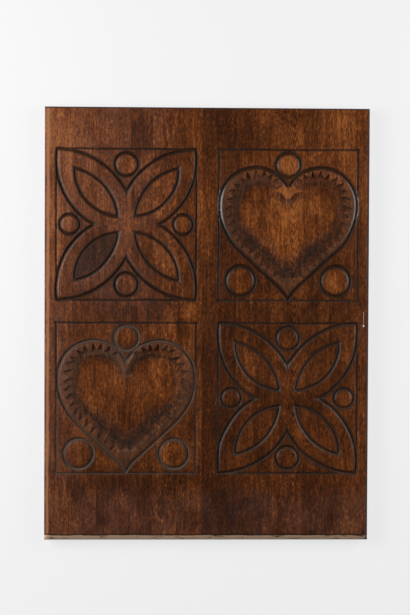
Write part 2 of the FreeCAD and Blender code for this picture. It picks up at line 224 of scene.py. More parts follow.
# left half of a heart from its cleft down to its square foot or its tip
def heartLine(sizes):
    flank = math.radians(heart["flankTurn"])
    cleft = math.degrees(math.acos(sizes["spread"] / sizes["radius"]))
    lobe = arcPoints(-sizes["spread"], sizes["rise"], sizes["radius"], cleft, heart["sideTurn"])
    side = arcPoints(*sideMiddle(sizes), sizes["sideRadius"], heart["sideTurn"], heart["flankTurn"])
    down = np.array([-math.sin(flank), math.cos(flank)])
    square = "foot" in sizes
    reach = (-sizes["foot"] - side[-1][1]) / down[1] if square else sizes["flankLength"]
    end = side[-1] + reach * down
    steps = max(2, int(reach / pointStep))
    straight = side[-1] + np.linspace(0, 1, steps + 1)[:, None] * (end - side[-1])
    if square:
        foot = end + np.linspace(0, 1, 8)[:, None] * (np.array([0.0, -sizes["foot"]]) - end)
    else:
        bend = end + sizes["tipRadius"] * np.array([math.cos(flank), math.sin(flank)])
        foot = arcPoints(bend[0], bend[1], sizes["tipRadius"], heart["flankTurn"] - 180, 0)
        foot = foot[(foot[:, 0] <= 0) & (foot[:, 1] >= -borderLine["halfHigh"])]
    return np.concatenate([lobe, side[1:], straight[1:], foot[1:]])


# distance to a half heart, below zero inside it, and the run along the line to the nearest place
def heartDistance(x, y, line, block=3000, tiny=1e-9):
    px, py = -np.abs(x), y
    start, end = line[:-1], line[1:]
    leg = end - start
    legLength = np.hypot(leg[:, 0], leg[:, 1])
    runs = np.concatenate([[0.0], np.cumsum(legLength)])[:-1]
    distance, along = np.empty_like(px), np.empty_like(px)
    inside = np.zeros(len(px), bool)
    for first in range(0, len(px), block):
        part = slice(first, first + block)
        dx = px[part, None] - start[None, :, 0]
        dy = py[part, None] - start[None, :, 1]
        share = np.clip((dx * leg[:, 0] + dy * leg[:, 1]) / legLength ** 2, 0, 1)
        away = (dx - share * leg[:, 0]) ** 2 + (dy - share * leg[:, 1]) ** 2
        nearest = away.argmin(1)
        rows = np.arange(len(nearest))
        distance[part] = np.sqrt(away[rows, nearest])
        along[part] = runs[nearest] + share[rows, nearest] * legLength[nearest]
        # a ray to the left crosses the line an odd number of times from inside
        crosses = (start[None, :, 1] > py[part, None]) != (end[None, :, 1] > py[part, None])
        rise = np.where(np.abs(leg[:, 1]) < tiny, tiny, leg[:, 1])
        meet = start[:, 0] + dy / rise * leg[:, 0]
        inside[part] = (np.sum(crosses & (meet < px[part, None]), 1) % 2) == 1
    return np.where(inside, -distance, distance), along


# distance to a border, whose lines run a little past one another at a heart's corners
def borderDistance(x, y, over):
    outX, outY = np.abs(x) - borderLine["halfWide"], np.abs(y) - borderLine["halfHigh"]
    upright = np.hypot(outX, np.maximum(outY - over, 0))
    level = np.hypot(outY, np.maximum(outX - over, 0))
    return np.minimum(upright, level)


# depth of a cut at a distance from its line; the proud side is where that is below zero
def cutDepth(distance, cut, sink=0.0):
    away = distance - cut["bottom"]
    shoulder = np.clip(1 + away / cut["shoulder"], 0, 1) ** shoulderCurve
    wall = np.clip(1 - away / cut["wall"], 0, 1)
    return np.where(away < 0, cut["depth"] * shoulder, sink + (cut["depth"] - sink) * wall)


# how much dark wax and painted shade the cut holds, all of it at the bottom and a little out on the ground
def cutShare(distance, cut):
    away = distance - cut["bottom"]
    wall = np.clip(1 - away / (waxAndShadeSpread * cut["wall"]), 0, 1)
    return np.where(away < 0, np.clip(1 + away / cut["shoulder"], 0, 1), wall)


# where each nick starts on the left half of the rim, and the way it runs
def nickPlaces():
    rim, places = heart["rim"], []
    arcs = [(-rim["spread"], rim["rise"], rim["radius"], heart["lobeNicks"]),
            (*sideMiddle(rim), rim["sideRadius"], heart["sideNicks"])]
    for middleX, middleY, radius, (start, step, count) in arcs:
        reach = radius + nick["length"]
        for index in range(count):
            turn = math.radians(start + step * index)
            places.append((middleX + reach * math.cos(turn), middleY + reach * math.sin(turn),
                           turn + math.pi))
    # the flank runs on straight from the end of the side
    flank = math.radians(heart["flankTurn"])
    start, step, count = heart["flankNicks"]
    for index in range(count):
        run = start + step * index
        places.append((middleX + reach * math.cos(flank) - run * math.sin(flank),
                       middleY + reach * math.sin(flank) + run * math.cos(flank), flank + math.pi))
    out, below = heart["footNick"]
    places.append((-out, -rim["foot"] - below, math.pi / 2))
    return places


# every nick of one heart, both halves, each a little different in place, turn and length
def nicksOf(seed):
    chance = np.random.default_rng(seed)
    turned, longer, moved = nick["turnChance"], nick["lengthChance"], nick["placeChance"]
    spread = math.atan(nick["halfWidth"] / nick["reach"])
    nicks = []
    for x, y, heading in nickPlaces():
        for across in (1, -1):
            way = heading if across == 1 else math.pi - heading
            way += math.radians(chance.uniform(-turned, turned))
            back = chance.uniform(-longer, longer)
            nicks.append({"x": across * x - back * math.cos(way) + chance.uniform(-moved, moved),
                          "y": y - back * math.sin(way) + chance.uniform(-moved, moved),
                          "heading": way,
                          "spread": spread * chance.uniform(*nick["spreadChance"]),
                          "stab": nick["stab"] * chance.uniform(*nick["stabChance"])})
    return nicks


# depth of one nick, and how dark its dirt and painted shade are
def nickDepth(x, y, one):
    cosine, sine = math.cos(one["heading"]), math.sin(one["heading"])
    ahead = (x - one["x"]) * cosine + (y - one["y"]) * sine
    aside = -(x - one["x"]) * sine + (y - one["y"]) * cosine
    edge = ahead * math.sin(one["spread"]) - np.abs(aside) * math.cos(one["spread"])
    # its bed runs down with the wall of the dish and flattens out on it
    bed = one["stab"] + ahead * math.tan(math.radians(nick["slope"]))
    bed = bed - nick["level"] * np.maximum(ahead - nick["levelFrom"], 0) ** 2
    # dirt and painted shade blacken its point, and painted shade darkens the side wall that faces the foot of
    # the board more than the other
    down = max(-sine, 0)
    point = np.clip(nick["pointDark"] - ahead / (nick["point"] * (1 - nick["pointDown"] * down)), 0, 1)
    facing = nick["facing"] + nick["facingAcross"] * abs(cosine) - nick["facingDown"] * down
    facing = facing + nick["facingSide"] * np.sign(aside) * cosine
    lineEnd = nick["lineEnd"] + nick["lineEndAcross"] * cosine ** 2
    line = facing * np.clip(nick["lineDark"] - edge / nick["line"], 0, 1)
    line = line * np.clip((lineEnd - ahead) / nick["lineFade"], 0, 1)
    dirtAndShade = np.where(edge > 0, np.maximum(point, line), 0)
    return np.where(edge > 0, np.minimum(edge * nick["wall"], bed), 0.0), dirtAndShade


outlineLine, rimLine, floorLine = (heartLine(heart[k]) for k in ("outline", "rim", "floor"))
for index, field in enumerate(fields.values()):
    if field["motif"] == "heart":
        field["nicks"] = nicksOf(70 + index)
print("heart lines:", len(outlineLine), len(rimLine), len(floorLine), "points")


def bevelWidths(x, y):
    high = (y + board["halfHeight"]) / (2 * board["halfHeight"])
    left = board["leftBevelFoot"] + (board["leftBevelTop"] - board["leftBevelFoot"]) * high
    wear = board["wear"]
    worn = wear["reach"] * waves(x, y, wear["length"], 21)
    return (left + worn, board["rightBevel"] + worn * wear["right"],
            board["topBevel"] + worn * wear["top"], board["footBevel"] + worn)


# how far in from each outer edge, measured in widths of that edge's bevel
def bevelShares(x, y):
    left, right, top, foot = bevelWidths(x, y)
    return ((x + board["halfWidth"]) / left, (board["halfWidth"] - x) / right,
            (board["halfHeight"] - y) / top, (y + board["halfHeight"]) / foot)


def carveFlower(field, x, y, work, found):
    petal, leaf = petalDistance(x, y), leafDistance(x, y)
    work = np.maximum(work, cutDepth(petal, flower["petalCut"]))
    work = np.maximum(work, cutDepth(-leaf, flower["leafCut"], flower["leafSink"]))
    found["groove"] = np.maximum(cutShare(petal, flower["petalCut"]), cutShare(-leaf, flower["leafCut"]))
    rubbed, stain = flower["leafRubbed"], flower["leafStain"]
    found["rubbed"] = np.clip(-leaf / rubbed["over"] - rubbed["from"], 0, rubbed["most"])
    if field["stainedLeaf"]:
        soaked = np.clip(-leaf / stain["over"] - stain["from"], 0, 1)
        found["leafStain"] = np.where((x < 0) & (y < 0), soaked, 0)
    return work


def carveHeart(field, x, y, work, found):
    outline, _ = heartDistance(x, y, outlineLine)
    rim, along = heartDistance(x, y, rimLine)
    floor, _ = heartDistance(x, y, floorLine)
    # the line may stop short of the cleft, which leaves a beak of plain wood above the dish
    cut, cleft = heart["outlineCut"], heart["cleft"]
    kept = eased(np.abs(x), *cleft["half"]) * eased(y - field["cleftStop"], *cleft["end"])
    kept = 1 - kept * (y > cleft["foot"])
    work = np.maximum(work, kept * cutDepth(outline, cut))
    found["groove"] = kept * cutShare(outline, cut)
    found["polish"] = found["groove"] * field["polish"] * eased(np.abs(x), *heartShadeAndWear["polish"])
    # the dish, and push strokes of the gouge down its wall
    share = np.where(rim < 0, -rim / np.maximum(-rim + np.maximum(floor, 0), 1e-6), 0)
    hollow = heart["dishDepth"] * (1 - (1 - share) ** heart["dishEase"])
    stroke = heart["stroke"]
    turn = 2 * math.pi * along / stroke["length"] + stroke["sway"] * waves(x, y, stroke["swayLength"], 41)
    hollow = hollow + stroke["depth"] * np.sin(turn) * (4 * share * (1 - share))
    work = np.maximum(work, np.minimum(hollow, heart["dishDepth"]))
    matt = heartShadeAndWear["matt"] * (rim < 0) * eased(rim, *heartShadeAndWear["mattRim"])
    matt = matt * eased(rim, *heartShadeAndWear["mattIn"])
    teeth = found["teeth"]
    for one in field["nicks"]:
        close = np.nonzero(np.hypot(x - one["x"], y - one["y"]) < nick["within"])[0]
        cutHere, dirtAndShade = nickDepth(x[close], y[close], one)
        deeper = np.clip((cutHere - work[close]) / nick["bedDepth"], 0, 1)
        # the beds on the right face the lamp, and get more painted shade
        least = nick["bedDirtAndShade"] + nick["bedRight"] * max(-math.cos(one["heading"]), 0)
        teeth[close] = np.maximum(teeth[close], np.maximum(dirtAndShade, least) * deeper)
        dull = nick["matt"] * np.clip(cutHere / nick["mattDepth"], 0, 1)
        matt[close] = np.maximum(matt[close], dull)
        work[close] = np.maximum(work[close], cutHere)
    found["matt"] = matt
    shadeAndWearHeart(field, x, y, outline, rim, floor, share, found)
    return work


# painted shade, painted sheen, dust and wear in and round the dish
def shadeAndWearHeart(field, x, y, outline, rim, floor, share, found):
    wear, out, within = heartShadeAndWear, np.abs(x), rim < 0
    flank, crown, right = eased(y, *wear["flank"]), eased(y, *wear["crown"]), eased(x, *wear["right"])
    # painted shade down the wall: a broad band with a darker core, thickest on the flanks and thinnest at the
    # cleft
    core, broad, cleft = wear["core"], wear["broad"], wear["cleft"]
    nearer = (field["sideShift"] + wear["shiftRight"] * right) * (1 - flank) * (1 - crown)
    inCore = (rim + core["in"] + core["inEnds"] * np.maximum(flank, crown) - nearer) / core["width"]
    inBroad = (rim + broad["in"] - nearer) / (broad["width"] + broad["flankWidth"] * flank)
    side = (field["sideShade"] + field["rightShade"] * right) * (1 - flank)
    wall = (core["tone"] + side + core["flank"] * flank + core["crown"] * crown) * np.exp(-inCore ** 2)
    wall += (broad["tone"] + broad["flank"] * flank + broad["crown"] * crown) * np.exp(-inBroad ** 2)
    up = field["rightShade"] * right
    fadeFrom, fadeFull = (near + further * up for near, further in zip(wear["rimFade"], wear["rimRight"]))
    wall *= eased(rim, fadeFrom, fadeFull)
    wall *= 1 - field["cleftUnshaded"] * eased(np.hypot(x, cleft["flat"] * (y - cleft["at"])), *cleft["reach"])
    # painted shade in the square notch at the foot of the dish, with dust along its sole
    notch, ledge = wear["notch"], wear["ledge"]
    above = y + heart["rim"]["foot"]
    inNotch = eased(out - heart["footHalf"], *notch["side"])
    dark = notch["tone"] * inNotch * eased(above, *notch["sole"]) * eased(above, *notch["top"])
    wall = np.maximum(wall, dark)
    # dust caught on the ledges low down, broken up along the rim
    broken = eased(waves(x, y, ledge["length"], 61), *ledge["broken"])
    onLedge = np.maximum(flank * eased(np.abs(rim + ledge["in"]), *ledge["rim"]) * broken,
                         inNotch * eased(np.abs(above + ledge["in"]), *ledge["sole"]))
    # a painted highlight on the pale beak below the cleft, with painted shade under it
    split = wear["beak"]
    below = y - np.interp(out, heart["beakHalf"], heart["beakEdge"])
    beak = (field["beak"] > 0) * eased(out, *split["side"]) * eased(outline, *split["line"])
    shade = split["shade"] * beak * eased(below, *split["shadeTop"]) * eased(below, *split["shadeFoot"])
    wall = np.maximum(wall, shade * eased(out, *split["shadeMiddle"]))
    thick = np.interp(out, heart["beakHalf"], heart["beakThick"])
    beak = beak * eased(out, *split["tip"]) * eased(below, *split["under"])
    beak = beak * eased(below - thick, *split["over"])
    wall *= 1 - beak
    # painted grey sheen, partly dust, on the toothed band and between the teeth, and dust on the ledges
    band = eased(rim, *wear["band"]) * eased(outline, *wear["bandLine"])
    haze = wear["haze"] * eased(rim, *wear["hazeIn"]) * (1 - flank) * (1 - crown) * within
    sideGrey = field["sideSheenAndDust"] * (1 - right) * (1 - wear["sideGreyFlank"] * flank)
    sideGrey = sideGrey * eased(rim, *wear["sideGreyIn"]) * eased(rim, *wear["sideGreyOut"])
    veil = np.maximum.reduce([band, haze, sideGrey]) * (1 - beak)
    found["veil"] = np.maximum(veil, wear["ledgeVeil"] * field["dustAndLight"] * onLedge)
    # dust lessens the painted shade on the ledges and on the left of the crown
    upper = wear["upperLessShade"] * crown * eased(x, *wear["upperLeft"])
    found["wall"] = wall * (1 - field["dustAndLight"] * np.maximum(onLedge, upper))
    # dust lessens the dirt and painted shade in the teeth on the ledges and down the left side
    left = wear["leftTeeth"] * (1 - right) * (1 - flank)
    found["teeth"] *= 1 - field["dustAndLight"] * np.maximum(wear["ledgeTeeth"] * onLedge, left)
    dish = wear["dish"]
    clean = (dish["wall"] * share + dish["floor"] * np.clip(-floor / dish["floorIn"], 0, 1)) * within
    found["rubbed"] = np.clip((clean - dish["clean"]) / dish["over"], 0, 1)
    found["tint"] = band * field["band"] + beak * field["beak"]


markNames = ("groove", "wall", "veil", "leafStain", "matt", "polish", "rubbed", "dustAndLight")


# one field: depth of its border, motif and discs, and its marks
def carveField(field, x, y, heavy):
    motif = motifs[field["motif"]]
    found = {name: np.zeros_like(x) for name in markNames + ("teeth", "tint")}
    scratch = borderDistance(x, y, motif["overshoot"]) / borderLine["halfGroove"]
    work = field["lineDepth"] * heavy * np.clip(1 - scratch, 0, 1) ** borderLine["curve"]
    # the border line holds dark wax and painted shade, most at its bottom
    line = np.clip(borderLine["dirtAndShade"] - borderLine["dirtAndShadeFall"] * scratch, 0, 1)
    carveMotif = carveHeart if motif is heart else carveFlower
    work = carveMotif(field, x, y, work, found)
    for roundel in motif["roundels"]:
        ring = circleDistance(x, y, roundel)
        work = np.maximum(work, cutDepth(ring, motif["roundelCut"]))
        found["groove"] = np.maximum(found["groove"], cutShare(ring, motif["roundelCut"]))
        clean = (-ring - discRubbed[0]) / (discRubbed[1] - discRubbed[0])
        found["rubbed"] = np.maximum(found["rubbed"], np.clip(clean, 0, 1))
    # dust and painted light lie thick in the broad cuts, thin between the teeth, and in the lines only low
    # down
    groove, teeth = found["groove"], found.pop("teeth")
    inLine = line > groove
    thin = cutDustAndLight["teeth"] * np.clip(teeth * cutDustAndLight["cuts"], 0, 1)
    dustAndLight = np.maximum(np.clip(groove * cutDustAndLight["cuts"], 0, 1), thin)
    found["dustAndLight"] = np.where(inLine, eased(y, *borderLine["dustAndLightShare"]) * line, dustAndLight) * field["dustAndLight"]
    dull = field["dull"] * np.clip(cutDustAndLight["dull"] * groove, 0, 1)
    found["matt"] = np.maximum.reduce([np.where(inLine, line, 0), found["matt"], dull])
    # the band's tone and the beak's painted highlight ride on the rubbed mark
    found["rubbed"] = found["rubbed"] * field["rubbed"] + found.pop("tint")
    found["groove"] = np.maximum.reduce([groove, line, teeth])
    return work, found


# depth of the work below the carved face, and the marks that the finish follows
def carve(x, y):
    depth = np.zeros_like(x)
    marks = {name: np.zeros_like(x) for name in markNames}
    driftX, driftY = handDrift(x, y)
    for field in fields.values():
        localX, localY = x - field["at"][0], y - field["at"][1]
        near = np.nonzero((np.abs(localX) < fieldReach[0]) & (np.abs(localY) < fieldReach[1]))[0]
        heavy = 1 + borderLine["uneven"] * waves(x[near], y[near], borderLine["unevenLength"], 31)
        depth[near], found = carveField(field, (localX + driftX)[near], (localY + driftY)[near], heavy)
        for key, values in found.items():
            marks[key][near] = values

    shares = bevelShares(x, y)
    inward = np.minimum.reduce(shares)
    depth = np.maximum(depth, board["bevelDepth"] * np.clip(1 - inward, 0, 1) ** board["bevelCurve"])
    for key, share in zip(("leftShare", "rightShare", "topShare", "footShare"), shares):
        marks[key] = np.clip(share, 0, 4)
    # the plane left the face a little wavy across the grain
    plane = board["plane"]
    wavy = waves(x, y * plane["stretch"], plane["length"], 51)
    wavy = wavy + plane["slow"] * waves(x, y, plane["slowLength"], 52)
    planed = np.clip(plane["depth"] + plane["waves"] * wavy, plane["least"], 2 * plane["depth"])
    depth = depth + planed * np.clip(inward - plane["fromEdge"], 0, 1)
    # a run of paint that ended in a bead
    drip = board["drip"]
    bead = 1 - np.hypot(x - drip["x"], (y - drip["foot"]) * drip["beadLong"]) / drip["bead"]
    trail = 1 - np.abs(x - drip["x"] - drip["sway"] * np.sin(y / drip["swayLength"])) / drip["trail"]
    trail = np.where((y > drip["foot"]) & (y < drip["top"]), trail, 0)
    marks["paint"] = np.clip(np.maximum(bead * drip["beadTone"], trail * drip["trailTone"]), 0, 1)
    proud = drip["proud"] * np.sqrt(np.clip(np.maximum(bead, drip["trailProud"] * trail), 0, 1))
    return np.maximum(depth - proud, 0), marks


# spacing of the points that the board is drawn with, in mm, and of the rows along a cut, in its widths
layout = {
    "curveStep": 2.6, "lineStep": 5.0, "rowGap": 0.85,
    "shoulderRows": (0.2, 0.42, 0.66, 0.92, 1.2), "wallRows": (1.0, 0.5, 1.35, 1.95),
    "borderRows": (0.0, -0.5, 0.5, -1.02, 1.02, -2.0, 2.0),
    "edgeStep": 7.0, "edgeGap": 0.5, "bevelRows": (0.3, 0.65, 0.95, 1.08, 1.45), "bevelGap": 0.9,
    "dripStep": 0.7, "dripGap": 0.5, "dripMargin": 4.0,
    "nickRun": 17.0, "nickStep": 1.3, "nickInsets": (0.0, 0.75, -0.7),
    "dishStep": 1.95, "dishGap": 1.25, "dishHalf": (150, 140), "dishOut": 13, "dishIn": 5,
    "nearStep": 4.4, "nearGap": 3.2, "nearMargin": 14, "nearHalf": (172, 185),
    "farStep": 9.5, "farGap": 5.5, "farMargin": 16, "backStep": 48.0, "backMargin": 20,
    "ovalSlack": 0.02, "heartSlack": 0.06, "middleSlack": 0.01, "hexRow": 0.866,
}


# adds a point only where no earlier one lies within the gap
def addRows(points, rows, gap):
    cells = {}
    for x, y in points:
        cells.setdefault((int(x // gap), int(y // gap)), []).append((x, y))
    around = [(i, j) for i in (-1, 0, 1) for j in (-1, 0, 1)]
    for x, y in np.concatenate(rows):
        cellX, cellY = int(x // gap), int(y // gap)
        others = [other for i, j in around for other in cells.get((cellX + i, cellY + j), ())]
        if all((ox - x) ** 2 + (oy - y) ** 2 >= gap * gap for ox, oy in others):
            points.append((x, y))
            cells.setdefault((cellX, cellY), []).append((x, y))


# a line on the drawing, moved to where the hand cut it
def asCut(points, at):
    x, y = points[:, 0] + at[0], points[:, 1] + at[1]
    for _ in range(2):
        driftX, driftY = handDrift(x, y)
        x, y = points[:, 0] + at[0] - driftX, points[:, 1] + at[1] - driftY
    return np.stack([x, y], 1)


# breaks a line wherever a point fails the test
def runsOf(points, keep):
    breaks = np.nonzero(np.diff(keep.astype(int)))[0] + 1
    runs = zip(np.split(points, breaks), np.split(keep, breaks))
    return [run for run, kept in runs if kept[0] and len(run) > 1]


# rows of points laid along a cut: its bottom line first, then up both sides
def rowOffsets(cut):
    shoulder = [cut["bottom"] - cut["shoulder"] * share for share in layout["shoulderRows"]]
    wall = [cut["bottom"] + cut["wall"] * share for share in layout["wallRows"]]
    return [cut["bottom"]] + wall[:1] + shoulder + wall[1:]


def circleRows(circle, cut, at):
    x, y, radius = circle
    rings = [arcPoints(x, y, radius + offset, 0, 360, layout["curveStep"]) for offset in rowOffsets(cut)]
    return [asCut(ring, at) for ring in rings]


# rows along petals or leaves, on all four of them; outward is 1 where the wall lies outside
def ovalRows(circles, distance, cut, at, outward):
    rows = []
    for offset in rowOffsets(cut):
        reach = outward * offset
        for x, y, radius in circles:
            whole = arcPoints(x, y, radius + reach, 0, 360, layout["curveStep"])
            for quarter in ((1, 1), (1, -1), (-1, 1), (-1, -1)):
                turned = whole * np.array(quarter)
                keep = np.abs(distance(turned[:, 0], turned[:, 1]) - reach) < layout["ovalSlack"]
                rows += [asCut(run, at) for run in runsOf(turned, keep)]
    return rows


def lineRows(line, offsets, at, step):
    tangent = np.gradient(line, axis=0)
    normal = np.stack([tangent[:, 1], -tangent[:, 0]], 1)
    normal = normal / np.hypot(normal[:, 0], normal[:, 1])[:, None]
    skip = max(1, int(round(step / pointStep)))
    rows = []
    for offset in offsets:
        moved = line + offset * normal
        away, _ = heartDistance(moved[:, 0], moved[:, 1], line)
        keep = np.abs(np.abs(away) - abs(offset)) < layout["heartSlack"]
        for run in runsOf(moved, keep & (moved[:, 0] <= layout["middleSlack"])):
            thinned = np.concatenate([run[:-1:skip], run[-1:]])
            rows += [asCut(thinned, at), asCut(thinned * np.array([-1, 1]), at)]
    return rows


def borderRows(at, overshoot):
    rows = []
    for share in layout["borderRows"]:
        offset = share * borderLine["halfGroove"]
        wide, high = borderLine["halfWide"] + offset, borderLine["halfHigh"] + offset
        past = offset or overshoot
        spanX = np.linspace(-1, 1, int(2 * wide / layout["lineStep"])) * (borderLine["halfWide"] + past)
        spanY = np.linspace(-1, 1, int(2 * high / layout["lineStep"])) * (borderLine["halfHigh"] + past)
        for sign in (1, -1):
            rows += [asCut(np.stack([spanX, np.full(len(spanX), sign * high)], 1), at),
                     asCut(np.stack([np.full(len(spanY), sign * wide), spanY], 1), at)]
    return rows


def nickRows(one, at):
    rows = []
    run = np.arange(0.0, layout["nickRun"], layout["nickStep"])
    for side in (-1, 1):
        heading = one["heading"] - side * one["spread"]
        for inset in layout["nickInsets"]:
            x = one["x"] + run * math.cos(heading) - side * inset * math.sin(heading)
            y = one["y"] + run * math.sin(heading) + side * inset * math.cos(heading)
            rows.append(asCut(np.stack([x, y], 1), at))
    return rows


def hexGrid(halfX, halfY, step):
    rows = []
    for index, y in enumerate(np.arange(-halfY, halfY, step * layout["hexRow"])):
        across = np.arange(-halfX + (step / 2 if index % 2 else 0), halfX, step)
        rows.append(np.stack([across, np.full(len(across), y)], 1))
    return np.concatenate(rows)


def layOut():
    points = []
    halfX, halfY, step = board["halfWidth"], board["halfHeight"], layout["edgeStep"]
    # outer edge, then the rows of each bevel
    alongX = np.linspace(-halfX, halfX, int(2 * halfX / step) + 1)
    alongY = np.linspace(-halfY, halfY, int(2 * halfY / step) + 1)
    rows = [np.stack([alongX, np.full(len(alongX), sign * halfY)], 1) for sign in (1, -1)]
    rows += [np.stack([np.full(len(alongY), sign * halfX), alongY], 1) for sign in (1, -1)]
    addRows(points, rows, layout["edgeGap"])
    edgeCount = len(points)
    innerX, innerY = alongX[1:-1], alongY[1:-1]
    left, right, _, _ = bevelWidths(np.zeros_like(innerY), innerY)
    _, _, top, foot = bevelWidths(innerX, np.zeros_like(innerX))
    for share in layout["bevelRows"]:
        rows = [(-halfX + left * share, innerY), (halfX - right * share, innerY),
                (innerX, halfY - top * share), (innerX, -halfY + foot * share)]
        addRows(points, [np.stack(row, 1) for row in rows], layout["bevelGap"])
    # close points where the paint ran
    drip, margin = board["drip"], layout["dripMargin"]
    spots = hexGrid(margin, 0.5 * (drip["top"] - drip["foot"]) + margin, layout["dripStep"])
    middle = np.array([drip["x"], 0.5 * (drip["top"] + drip["foot"])])
    addRows(points, [spots + middle], layout["dripGap"])

    bottoms, sides, grids = [], [], []
    for field in fields.values():
        at, motif = field["at"], motifs[field["motif"]]
        border = borderRows(at, motif["overshoot"])
        bottoms += border[:4]
        sides += border[4:]
        if motif is heart:
            cut = heart["outlineCut"]
            sides += lineRows(outlineLine, rowOffsets(cut), at, layout["curveStep"])
            bottoms += lineRows(outlineLine, [cut["bottom"]], at, layout["curveStep"])
            bottoms += lineRows(rimLine, [0.0], at, pointStep)
            for one in field["nicks"]:
                sides += nickRows(one, at)
            grid = hexGrid(*layout["dishHalf"], layout["dishStep"])
            rim, _ = heartDistance(grid[:, 0], grid[:, 1], rimLine)
            floor, _ = heartDistance(grid[:, 0], grid[:, 1], floorLine)
            grids.append(asCut(grid[(rim < layout["dishOut"]) & (floor > -layout["dishIn"])], at))
        else:
            petals, leaves = [[flower[k + "Top"], flower[k + "Side"]] for k in ("petal", "leaf")]
            sides += ovalRows(petals, petalDistance, flower["petalCut"], at, 1)
            sides += ovalRows(leaves, leafDistance, flower["leafCut"], at, -1)
        for roundel in motif["roundels"]:
            sides += circleRows(roundel, motif["roundelCut"], at)
    addRows(points, bottoms, layout["rowGap"])
    addRows(points, sides, layout["rowGap"])
    addRows(points, grids, layout["dishGap"])
    cutCount = len(points)
    inner = hexGrid(halfX - layout["nearMargin"], halfY - layout["nearMargin"], layout["nearStep"])
    near = [np.all(np.abs(inner - np.array(field["at"])) < layout["nearHalf"], 1)
            for field in fields.values()]
    addRows(points, [inner[np.logical_or.reduce(near)]], layout["nearGap"])
    outer = hexGrid(halfX - layout["farMargin"], halfY - layout["farMargin"], layout["farStep"])
    addRows(points, [outer], layout["farGap"])
    print("points: edge", edgeCount, "cuts", cutCount, "all", len(points))
    return points


# joins points to triangles
def netOf(points):
    net = geometry.delaunay_2d_cdt([Vector(p) for p in points], [], [], 0, 1e-5)
    return np.array([tuple(v) for v in net[0]]), net[2]


places, triangles = netOf(layOut())
print("triangles:", len(triangles), "of", len(places), "points")


# the points of the outer edge in their order round the board, from the left foot corner
def edgeOrder(x, y, slack=1e-3):
    halfX, halfY = board["halfWidth"], board["halfHeight"]
    onEdge = np.nonzero((np.abs(np.abs(x) - halfX) < slack) | (np.abs(np.abs(y) - halfY) < slack))[0]
    ex, ey = x[onEdge], y[onEdge]
    run = np.select([ey < -halfY + slack, ex > halfX - slack, ey > halfY - slack],
                    [ex + halfX, 2 * halfX + ey + halfY, 3 * halfX + 2 * halfY - ex],
                    4 * halfX + 3 * halfY - ey)
    return onEdge[np.argsort(run)]


# the whole board: carved face, square edges, plain back with its arris taken off
def buildBoard():
    x, y = places[:, 0].copy(), places[:, 1].copy()
    depth, marks = carve(x, y)
    top = np.stack([x, y, faceLevel - depth], 1)
    ring = edgeOrder(x, y)
    count, total = len(ring), len(top)
    inset, margin = board["backChamfer"], layout["backMargin"]
    shrink = np.array([1 - inset / board["halfWidth"], 1 - inset / board["halfHeight"]])
    lower = np.stack([x[ring], y[ring], np.full(count, inset)], 1)
    sole = np.stack([x[ring] * shrink[0], y[ring] * shrink[1], np.zeros(count)], 1)
    inner = hexGrid(board["halfWidth"] - margin, board["halfHeight"] - margin, layout["backStep"])
    _, backFaces = netOf(np.concatenate([sole[:, :2], inner]))
    back = np.stack([inner[:, 0], inner[:, 1], np.zeros(len(inner))], 1)
    everyPoint = np.concatenate([top, lower, sole, back]) * millimetre
    faces = [tuple(t) for t in triangles]
    faceCount = len(faces)
    for i in range(count):
        j = (i + 1) % count
        faces.append((ring[j], ring[i], total + i, total + j))
        faces.append((total + j, total + i, total + count + i, total + count + j))
    sideCount = len(faces)
    faces += [tuple(total + count + i for i in reversed(t)) for t in backFaces]
    mesh = bpy.data.meshes.new("carvedOakBoard")
    mesh.from_pydata([tuple(p) for p in everyPoint], [], [tuple(int(i) for i in f) for f in faces])
    for name, values in marks.items():
        layer = mesh.attributes.new(name, "FLOAT", "POINT")
        full = np.zeros(len(everyPoint), np.float32)
        full[:total] = values
        layer.data.foreach_set("value", full)
    kinds = np.zeros(len(faces), np.int32)
    kinds[faceCount:] = 1
    mesh.polygons.foreach_set("material_index", kinds)
    mesh.polygons.foreach_set("use_smooth", np.ones(len(faces), bool))
    mesh.update()
    mesh.set_sharp_from_angle(angle=math.radians(board["sharpTurn"]))
    mesh.validate()
    piece = bpy.data.objects.new("carved_oak_board", mesh)
    bpy.context.scene.collection.objects.link(piece)
    print("board:", len(everyPoint), "points", len(faces), "faces", sideCount - faceCount, "on the edges")
    return piece


piece = buildBoard()


